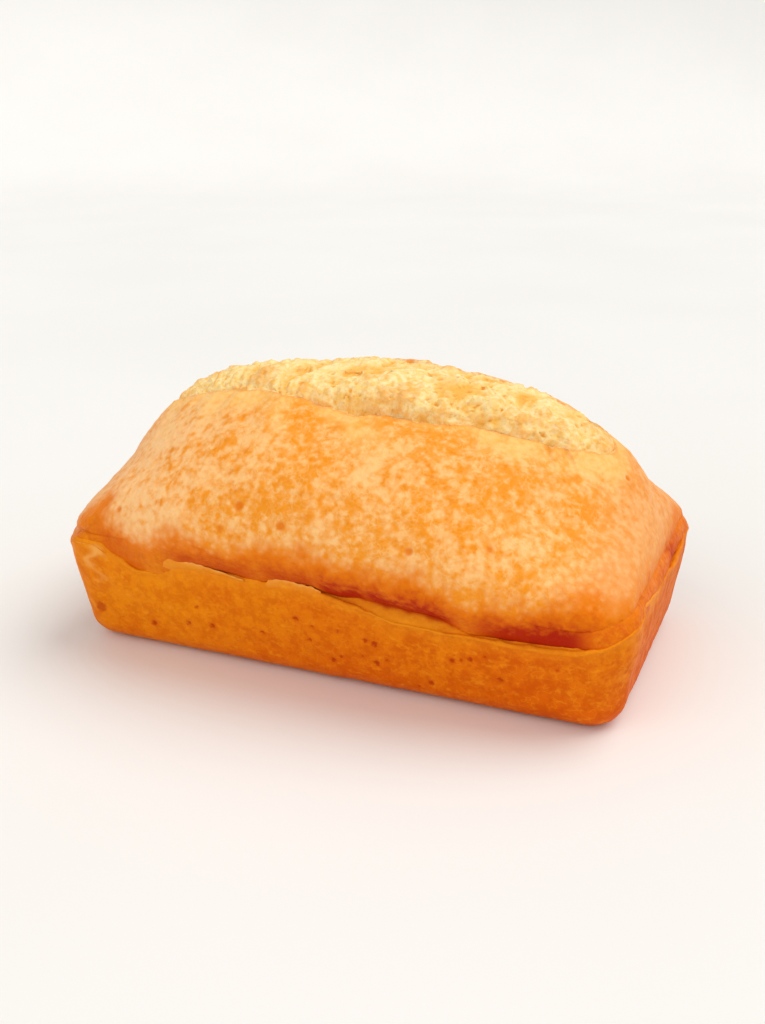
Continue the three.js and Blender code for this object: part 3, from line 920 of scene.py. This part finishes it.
class Finish:
    """A material whose nodes are added and joined one at a time."""

    def __init__(self, name, roughness, gloss):
        self.material = bpy.data.materials.new(name)
        self.material.use_nodes = True
        self.nodes = self.material.node_tree.nodes
        self.links = self.material.node_tree.links
        self.shader = self.nodes["Principled BSDF"]
        self.shader.inputs["Roughness"].default_value = roughness
        self.shader.inputs["Specular IOR Level"].default_value = gloss
        self.place = self.nodes.new("ShaderNodeTexCoord").outputs["Object"]
        self.base = None

    def join(self, socket, value):
        """Links a socket to another, or sets it to a plain value."""
        if isinstance(value, bpy.types.NodeSocket):
            self.links.new(value, socket)
        else:
            socket.default_value = value

    def node(self, kind, inputs, output=0, **settings):
        node = self.nodes.new(kind)
        for setting, value in settings.items():
            setattr(node, setting, value)
        for socket, value in inputs.items():
            self.join(node.inputs[socket], value)
        return node.outputs[output]

    def mark(self, name):
        return self.node("ShaderNodeAttribute", {}, "Fac", attribute_name=name)

    def height(self):
        return self.node("ShaderNodeSeparateXYZ", {0: self.place}, "Z")

    def length(self):
        return self.node("ShaderNodeSeparateXYZ", {0: self.place}, "X")

    def distance_from_middle(self):
        return self.node("ShaderNodeMath", {0: self.length()}, operation="ABSOLUTE")

    def grain(self, size, detail=2.0, at=0.0, stretch=(1, 1, 1), kind="FBM"):
        """Noise with features of a size in millimetres; at moves it elsewhere."""
        spot = self.node(
            "ShaderNodeVectorMath", {0: self.place, 1: stretch, 2: (at, -at, 0.5 * at)},
            operation="MULTIPLY_ADD")
        return self.node(
            "ShaderNodeTexNoise",
            {"Vector": spot, "Scale": 1 / (size * MM), "Detail": detail, "Roughness": 0.55},
            noise_type=kind)

    def strands(self, size, at=0.0):
        """Near 0 along fine wandering lines that are about a size in millimetres apart."""
        centred = self.sum((1.0, self.grain(size, 1, at)), (-0.5, 1.0))
        return self.node("ShaderNodeMath", {0: centred}, operation="ABSOLUTE")

    def worms(self, size, at=0.0):
        """Rounded cells of a size in millimetres: 0 at their middles, 1 far out."""
        spot = self.node("ShaderNodeVectorMath", {0: self.place, 1: (at, at, at)}, operation="ADD")
        wavy = self.node(
            "ShaderNodeTexNoise", {"Vector": spot, "Scale": 1 / (1.4 * size * MM)}, "Color")
        bent = self.node(
            "ShaderNodeVectorMath", {0: wavy, 1: (size * MM,) * 3, 2: spot},
            operation="MULTIPLY_ADD")
        return self.node(
            "ShaderNodeTexVoronoi", {"Vector": bent, "Scale": 1 / (size * MM)},
            "Distance", feature="SMOOTH_F1")

    def spread(self, value, low, high, to_low=0.0, to_high=1.0):
        """A value's range between low and high, eased onto another."""
        return self.node(
            "ShaderNodeMapRange",
            {"Value": value, "From Min": low, "From Max": high,
             "To Min": to_low, "To Max": to_high},
            interpolation_type="SMOOTHSTEP")

    def sum(self, *terms):
        """Adds sockets and numbers, each with its own share."""
        total = 0.0
        for share, value in terms:
            total = self.node(
                "ShaderNodeMath", {0: value, 1: share, 2: total}, operation="MULTIPLY_ADD")
        return total

    def times(self, a, b):
        return self.node("ShaderNodeMath", {0: a, 1: b}, operation="MULTIPLY")

    def mix(self, share, a, b):
        node = self.nodes.new("ShaderNodeMix")
        node.data_type = "RGBA"
        self.join(node.inputs[0], share)
        self.join(node.inputs[6], a)
        self.join(node.inputs[7], b)
        return node.outputs[2]

    def tint(self, share, tone):
        """Lays a colour over the base colour, as far as its share."""
        self.base = self.mix(share, self.base, tone)

    def finish(self, roughness, relief, distance):
        """Joins colour, roughness and fine relief, the last in millimetres."""
        self.join(self.shader.inputs["Base Color"], self.base)
        self.join(self.shader.inputs["Roughness"], roughness)
        bumped = self.node(
            "ShaderNodeBump", {"Height": relief, "Distance": distance * MM, "Strength": 0.8})
        self.join(self.shader.inputs["Normal"], bumped)
        return self.material


def wall_tones(skin, colours):
    """The smooth golden crust that baked against the tin and its fine mottling, darker towards the
    base and the right end: partly browning, partly painted shade.
    """
    broad = skin.spread(skin.grain(34, 2, 1.1), 0.35, 0.65)
    mottle = skin.grain(4.4, 3, 2.3)
    fine = skin.grain(1.3, 2, 3.7)
    # Darker towards the base and the right end: partly the crust's own browning, partly painted
    # shade.
    low = skin.spread(skin.height(), 0.024, 0.002)
    along = skin.spread(skin.length(), -0.09, 0.09)
    toasted_and_shaded = skin.sum((0.25, broad), (0.35, low), (0.4, along))
    skin.base = skin.mix(toasted_and_shaded, colours.wall_gold, colours.wall_amber)
    dapple = skin.spread(skin.sum((0.65, mottle), (0.35, fine)), 0.4, 0.62)
    dappled = skin.times(dapple, skin.spread(skin.length(), -0.07, 0.07, 0.4, 0.6))
    skin.tint(dappled, colours.wall_deep)
    brushed = skin.grain(2.4, 3, 5.1, stretch=(0.75, 0.75, 1.2))
    skin.tint(skin.spread(brushed, 0.54, 0.72, 0, 0.4), colours.gold_and_lip_highlight)
    wisps = skin.spread(skin.strands(3.8, 8.7), 0.03, 0.0)
    wisps = skin.times(wisps, skin.spread(mottle, 0.6, 0.45, 0, 0.28))
    skin.tint(wisps, colours.gold_and_lip_highlight)
    return mottle, fine


def tin_crust_finish(colours):
    skin = Finish("tin_crust_finish", 0.5, 0.05)
    mottle, fine = wall_tones(skin, colours)
    skin.tint(skin.spread(skin.mark("rise"), -8.0, 0.5, 0, 0.35), colours.gold_and_lip_highlight)
    # A painted highlight along the torn lip and down the ledge.
    skin.tint(skin.times(skin.mark("lip_edge"), 0.6), colours.gold_and_lip_highlight)
    filmy = skin.spread(skin.sum((0.7, mottle), (0.3, fine)), 0.3, 0.6, 0.1, 0.75)
    skin.tint(skin.times(skin.mark("film"), filmy), colours.film_pale)
    hole = skin.sum((1.0, skin.mark("hole")), (2.4, fine), (-1.2, 1.0))
    skin.tint(skin.spread(hole, 1.4, -0.1, 0, 0.4), colours.fold_brown)
    skin.tint(skin.spread(hole, 0.4, -0.4, 0, 0.85), colours.pin_hole)
    scorched = skin.sum((1.0, skin.mark("scorch")), (0.8, fine), (-0.4, 1.0))
    skin.tint(skin.spread(scorched, 0.1, 0.9, 0, 0.6), colours.fold_red)
    # Red in the groove: partly the crust's own deeper browning, partly painted shade.
    skin.tint(skin.spread(skin.mark("fold"), 0.05, 1.0, 0, 0.95), colours.fold_red)
    craggy = skin.sum((0.8, skin.worms(2.6, 7.7)), (0.7, mottle), (0.5, fine), (-0.6, 1.0))
    under = skin.mix(skin.spread(craggy, -0.1, 0.8), colours.under_brown, colours.under_tan)
    skin.tint(skin.mark("underside"), under)
    relief = skin.sum((0.6, mottle), (0.4, fine))
    rough = skin.spread(mottle, 0.3, 0.7, 0.45, 0.62)
    return skin.finish(rough, relief, 0.4)


def dome_crust_finish(colours):
    skin = Finish("dome_crust_finish", 0.5, 0.09)
    _, fine = wall_tones(skin, colours)
    wall = skin.base
    patches = skin.grain(20, 3, 1.3)
    blots = skin.grain(4.6, 2, 2.9)
    freckles = skin.grain(2.0, 2, 4.1)
    pimples = skin.worms(2.3, 3.3)
    # Rises from the left end, which is painted in shade, to the lit right side.
    lit_side = skin.spread(skin.length(), -0.08, -0.01)
    tone = skin.sum(
        (1.1, patches), (1.0, blots), (0.9, freckles), (0.8, pimples),
        (0.13, lit_side), (-1.45, 1.0))
    skin.base = skin.mix(skin.spread(tone, 0.0, 0.85), colours.dome_pale, colours.dome_orange)
    threads = skin.spread(skin.strands(2.4, 6.1), 0.07, 0.0)
    threads = skin.times(threads, skin.spread(blots, 0.6, 0.4, 0.1, 0.4))
    skin.tint(threads, colours.dome_curl)
    flecks = skin.spread(skin.sum((0.5, freckles), (0.5, blots)), 0.54, 0.72, 0, 0.4)
    skin.tint(flecks, colours.dome_fleck)
    # Painted shade: a peach tone on the left end, away from the light.
    peach = skin.times(skin.spread(lit_side, 1.0, 0.0, 0, 0.5), skin.spread(tone, 0.9, 0.3))
    skin.tint(peach, colours.dome_shade_peach)
    # Painted shade on the dome's two ends.
    ends = skin.spread(skin.distance_from_middle(), 0.076, 0.1, 0, 0.5)
    skin.tint(ends, colours.end_shade_brown)
    crown = skin.spread(skin.sum((1.0, skin.mark("from_tear")), (0.9, patches)), 0.75, 0.4, 0, 0.6)
    skin.tint(crown, colours.crown_gold)
    fold = skin.mark("fold")
    ragged = skin.sum((1.0, fold), (6.5, freckles), (6.0, blots), (-4.0, pimples), (-4.8, 1.0))
    band = skin.sum(
        (1.0, fold), (16.0, patches), (8.0, blots), (3.0, freckles), (-3.0, pimples), (-12.4, 1.0))
    speckled = skin.base
    skin.base = skin.mix(skin.spread(ragged, 5.0, 10.0), wall, colours.dome_gold)
    skin.tint(skin.spread(band, 8.0, 19.0), speckled)
    skin.tint(skin.spread(skin.mark("hole"), 1.1, -0.3, 0, 0.9), colours.dome_gold)
    # The brown and red band above the groove, strongest where the groove is deep: partly the
    # crust's own browning, partly painted shade.
    deep = skin.mark("deep")
    brown = skin.times(skin.spread(ragged, 13.0, 4.0), skin.spread(deep, 0.1, 0.7, 0.1, 0.9))
    skin.tint(brown, colours.fold_brown)
    red = skin.times(skin.spread(ragged, 7.0, 2.0), skin.spread(deep, 0.45, 0.95))
    skin.tint(red, colours.fold_red)
    edge = skin.mark("torn")
    torn = skin.sum((1.0, edge), (1.6, blots), (0.8, freckles), (-1.25, 1.0))
    skin.tint(skin.times(skin.spread(torn, 0.0, 0.5, 0, 0.6), edge), colours.dome_fleck)
    skin.tint(skin.times(skin.spread(torn, 0.5, 1.0), edge), colours.crumb_pale)
    wrinkles = skin.worms(1.3, 9.1)
    relief = skin.sum((0.5, freckles), (0.3, fine), (0.3, threads), (-0.4, wrinkles))
    rough = skin.spread(fine, 0.3, 0.7, 0.42, 0.6)
    return skin.finish(rough, relief, 0.5)


def crust_flakes_finish(colours):
    skin = Finish("crust_flakes_finish", 0.5, 0.08)
    mottle, _ = wall_tones(skin, colours)
    skin.tint(skin.spread(mottle, 0.35, 0.6, 0.2, 0.6), colours.gold_and_lip_highlight)
    filmy = skin.times(skin.mark("torn"), skin.spread(mottle, 0.3, 0.6, 0.3, 0.7))
    skin.tint(filmy, colours.film_pale)
    return skin.finish(0.5, mottle, 0.3)


def torn_crumb_finish(colours):
    skin = Finish("torn_crumb_finish", 0.8, 0.1)
    grain = skin.grain(2.2, 3, 1.9)
    patches = skin.grain(13, 2, 8.3)
    fine = skin.worms(0.9, 3.1)
    lump = skin.mark("lump")
    skin.base = skin.mix(skin.spread(grain, 0.35, 0.7), colours.crumb_pale, colours.crumb_gold)
    # Painted shade: a warmer, deeper tone in the crumb's creases and pores.
    crease_shade = skin.spread(skin.sum((1.0, lump), (1.0, grain)), 0.8, -0.9, 0, 0.85)
    skin.tint(crease_shade, colours.crumb_pore_shade)
    skin.tint(skin.spread(skin.mark("pore"), 0.4, -0.5, 0, 0.7), colours.crumb_pore_shade)
    baked = skin.sum((0.7, lump), (1.8, patches), (1.6, grain), (1.4, skin.mark("brink")))
    skin.tint(skin.spread(baked, 2.5, 4.2, 0, 0.7), colours.crumb_toast)
    relief = skin.sum((0.6, fine), (0.4, grain))
    return skin.finish(0.8, relief, 0.6)


# ---- the studio ----


def floor_paint():
    paint = Finish("floor_paint", 0.6, 0.2)
    tone = paint.spread(paint.grain(300, 2), 0.3, 0.7)
    shade = paint.mix(tone, colour(*FLOOR_SHADE), colour(*FLOOR_LIGHT))
    paint.join(paint.shader.inputs["Base Color"], shade)
    return paint.material


def lay_floor(scene, paint):
    ground = bmesh.new()
    bmesh.ops.create_circle(ground, cap_ends=True, segments=96, radius=FLOOR_REACH)
    mesh = as_mesh(ground, "floor")
    mesh.materials.append(paint)
    floor = bpy.data.objects.new("floor", mesh)
    scene.collection.objects.link(floor)


def raise_backdrop(scene, paint):
    """A wall that curves up out of the floor all the way round, lit but casting nothing."""
    sweep = bmesh.new()
    start = sweep.verts.new((FLOOR_REACH, 0, 0))
    turned = bmesh.ops.spin(
        sweep, geom=[start], cent=(FLOOR_REACH, 0, SWEEP_TURN), axis=(0, -1, 0),
        angle=HALF_PI, steps=24)["geom_last"]
    raised = bmesh.ops.extrude_vert_indiv(sweep, verts=turned)["verts"]
    bmesh.ops.translate(sweep, verts=raised, vec=(0, 0, SWEEP_HEIGHT))
    bmesh.ops.spin(
        sweep, geom=sweep.verts[:] + sweep.edges[:], cent=(0, 0, 0), axis=(0, 0, 1),
        angle=2 * np.pi, steps=96, use_merge=True)
    bmesh.ops.recalc_face_normals(sweep, faces=sweep.faces)
    bmesh.ops.reverse_faces(sweep, faces=sweep.faces)
    mesh = as_mesh(sweep, "backdrop")
    mesh.shade_smooth()
    mesh.materials.append(paint)
    backdrop = bpy.data.objects.new("backdrop", mesh)
    backdrop.visible_shadow = False
    backdrop.visible_diffuse = False
    scene.collection.objects.link(backdrop)


def aimed(place, target):
    """The position of something at a place that looks at a target."""
    turn = (Vector(target) - Vector(place)).to_track_quat("-Z", "Y")
    return Matrix.Translation(place) @ turn.to_matrix().to_4x4()


def light_studio(scene):
    world = bpy.data.worlds.new("studio_air")
    world.use_nodes = True
    air = world.node_tree.nodes["Background"]
    air.inputs["Color"].default_value = AIR_COLOUR
    air.inputs["Strength"].default_value = AIR_STRENGTH
    scene.world = world
    for name, place, softness, power in STUDIO_LIGHTS:
        glow = bpy.data.lights.new(name, "SUN")
        glow.angle = softness
        glow.energy = power
        glow.color = LIGHT_COLOUR
        light = bpy.data.objects.new(name, glow)
        scene.collection.objects.link(light)
        light.matrix_world = aimed(place, (0, 0, 0))


def place_camera(scene):
    lens = bpy.data.cameras.new("camera")
    lens.sensor_width = SENSOR_WIDTH
    lens.lens = SENSOR_WIDTH * FOCAL_PIXELS / FRAME_HEIGHT
    lens.clip_start = 0.02
    lens.clip_end = 80
    camera = bpy.data.objects.new("camera", lens)
    scene.collection.objects.link(camera)
    camera.matrix_world = aimed(CAMERA_PLACE, CAMERA_AIM) @ Matrix.Rotation(CAMERA_ROLL, 4, "Z")
    scene.camera = camera
    scene.view_settings.view_transform = "Standard"


# ---- sizes and colours ----


def length_setting(name, description, default_mm):
    return FloatProperty(
        name=name, description=description, default=default_mm * MM, min=0.0, unit="LENGTH")


def colour_setting(name, description, red, green, blue):
    return FloatVectorProperty(
        name=name, description=description, default=colour(red, green, blue), size=4,
        min=0.0, max=1.0, subtype="COLOR")


class LoafSizes(bpy.types.PropertyGroup):
    """The loaf's main sizes, as in its solid."""

    base_length: length_setting("Base length", "Length of the flat base", 198)
    base_width: length_setting("Base width", "Width of the flat base", 100)
    rim_height: length_setting("Rim height", "Height of the torn rim line", 39)
    crown_height: length_setting("Crown height", "Height of the dome's middle", 97)
    split_length: length_setting("Split length", "Length of the split in the crown", 164)
    split_width: length_setting("Split width", "Width of the split at its middle", 47)


class LoafColours(bpy.types.PropertyGroup):
    """Colours of the crust and crumb, painted shade and highlight among them."""

    wall_gold: colour_setting("Wall gold", "Lighter parts of the tin-baked wall", 238, 140, 6)
    wall_amber: colour_setting("Wall amber", "Deeper parts of the wall", 219, 91, 3)
    wall_deep: colour_setting("Wall mottle", "Darker mottling of the wall", 203, 80, 2)
    # Pale gold for the streaks and the wall near the lip, and the painted highlight along the lip.
    gold_and_lip_highlight: colour_setting("Lip gold", "The thin lip and pale streaks", 246, 160, 30)
    film_pale: colour_setting("Film", "The thin pale sheets along the rim", 250, 182, 92)
    pin_hole: colour_setting("Pin-holes", "Inside the pin-holes", 182, 56, 2)
    # The fold colours: partly the crust's own deeper browning, partly painted shade of the groove.
    fold_brown: colour_setting("Fold brown", "The browned band above the groove", 210, 86, 0)
    fold_red: colour_setting("Fold red", "Deep in the groove above the rim", 176, 34, 0)
    under_brown: colour_setting("Underside brown", "Crags of the underside", 184, 92, 20)
    under_tan: colour_setting("Underside tan", "Hollows of the underside", 234, 158, 66)
    dome_pale: colour_setting("Dome pale", "Palest parts of the dome's crust", 255, 198, 128)
    # Painted shade on the dome's left end.
    dome_shade_peach: colour_setting("Dome peach", "The dome's cooler end", 255, 204, 146)
    dome_orange: colour_setting("Dome orange", "Orange freckling of the dome", 246, 152, 34)
    dome_curl: colour_setting("Dome curl", "Pale wrinkles of the dome", 255, 208, 134)
    dome_fleck: colour_setting("Dome fleck", "Darker flecks and pits of the dome", 226, 122, 20)
    dome_gold: colour_setting("Dome gold", "The band above the rim", 234, 124, 4)
    crown_gold: colour_setting("Crown gold", "The crust beside the split", 255, 206, 118)
    # Painted shade on the dome's two ends.
    end_shade_brown: colour_setting("End brown", "The dome's two ends", 233, 159, 98)
    crumb_pale: colour_setting("Crumb pale", "Pale torn crumb", 255, 236, 178)
    crumb_gold: colour_setting("Crumb gold", "Golden parts of the crumb", 255, 216, 130)
    # Painted shade in the crumb's creases and pores.
    crumb_pore_shade: colour_setting("Crumb pore", "Inside the crumb's pores", 250, 178, 62)
    crumb_toast: colour_setting("Crumb toast", "Browned tips of the crumb", 243, 164, 62)


# ---- the operators ----


class LOAF_OT_tin_crust(bpy.types.Operator):
    """Build the smooth crust that baked against the tin, with its torn rim"""

    bl_idname = "loaf.tin_crust"
    bl_label = "Tin-baked crust"

    def execute(self, context):
        mesh = tin_crust_mesh(Loaf(context.scene.loaf_sizes))
        add_piece(mesh, tin_crust_finish(context.scene.loaf_colours))
        return {"FINISHED"}


class LOAF_OT_dome_crust(bpy.types.Operator):
    """Build the freckled crust of the dome, torn open along the crown"""

    bl_idname = "loaf.dome_crust"
    bl_label = "Dome crust"

    def execute(self, context):
        mesh = dome_crust_mesh(Loaf(context.scene.loaf_sizes))
        add_piece(mesh, dome_crust_finish(context.scene.loaf_colours))
        return {"FINISHED"}


class LOAF_OT_crust_flakes(bpy.types.Operator):
    """Build the thin loose flakes of crust along the rim"""

    bl_idname = "loaf.crust_flakes"
    bl_label = "Crust flakes"

    def execute(self, context):
        mesh = crust_flakes_mesh(Loaf(context.scene.loaf_sizes))
        add_piece(mesh, crust_flakes_finish(context.scene.loaf_colours))
        return {"FINISHED"}


class LOAF_OT_torn_crumb(bpy.types.Operator):
    """Build the pale crumb that shows in the split"""

    bl_idname = "loaf.torn_crumb"
    bl_label = "Torn crumb"

    def execute(self, context):
        mesh = torn_crumb_mesh(Loaf(context.scene.loaf_sizes))
        add_piece(mesh, torn_crumb_finish(context.scene.loaf_colours))
        return {"FINISHED"}


class LOAF_OT_studio(bpy.types.Operator):
    """Set out the pale floor, the soft lights and the camera"""

    bl_idname = "loaf.studio"
    bl_label = "Studio"

    def execute(self, context):
        scene = context.scene
        paint = floor_paint()
        lay_floor(scene, paint)
        raise_backdrop(scene, paint)
        light_studio(scene)
        place_camera(scene)
        return {"FINISHED"}


class LOAF_PT_panel(bpy.types.Panel):
    """The loaf's sizes, colours and pieces"""

    bl_idname = "LOAF_PT_panel"
    bl_label = "Pound cake loaf"
    bl_space_type = "VIEW_3D"
    bl_region_type = "UI"
    bl_category = "Loaf"

    def draw(self, context):
        column = self.layout.column()
        for group in (context.scene.loaf_sizes, context.scene.loaf_colours):
            for name in group.__annotations__:
                column.prop(group, name)
        for operator in OPERATORS:
            column.operator(operator.bl_idname)


OPERATORS = (
    LOAF_OT_tin_crust, LOAF_OT_dome_crust, LOAF_OT_crust_flakes, LOAF_OT_torn_crumb,
    LOAF_OT_studio)
CLASSES = (LoafSizes, LoafColours, *OPERATORS, LOAF_PT_panel)


def register():
    for item in CLASSES:
        bpy.utils.register_class(item)
    bpy.types.Scene.loaf_sizes = PointerProperty(type=LoafSizes)
    bpy.types.Scene.loaf_colours = PointerProperty(type=LoafColours)


def unregister():
    del bpy.types.Scene.loaf_colours
    del bpy.types.Scene.loaf_sizes
    for item in reversed(CLASSES):
        bpy.utils.unregister_class(item)


def main():
    register()
    bpy.ops.loaf.tin_crust()
    bpy.ops.loaf.dome_crust()
    bpy.ops.loaf.crust_flakes()
    bpy.ops.loaf.torn_crumb()
    bpy.ops.loaf.studio()


if __name__ == "__main__":
    main()
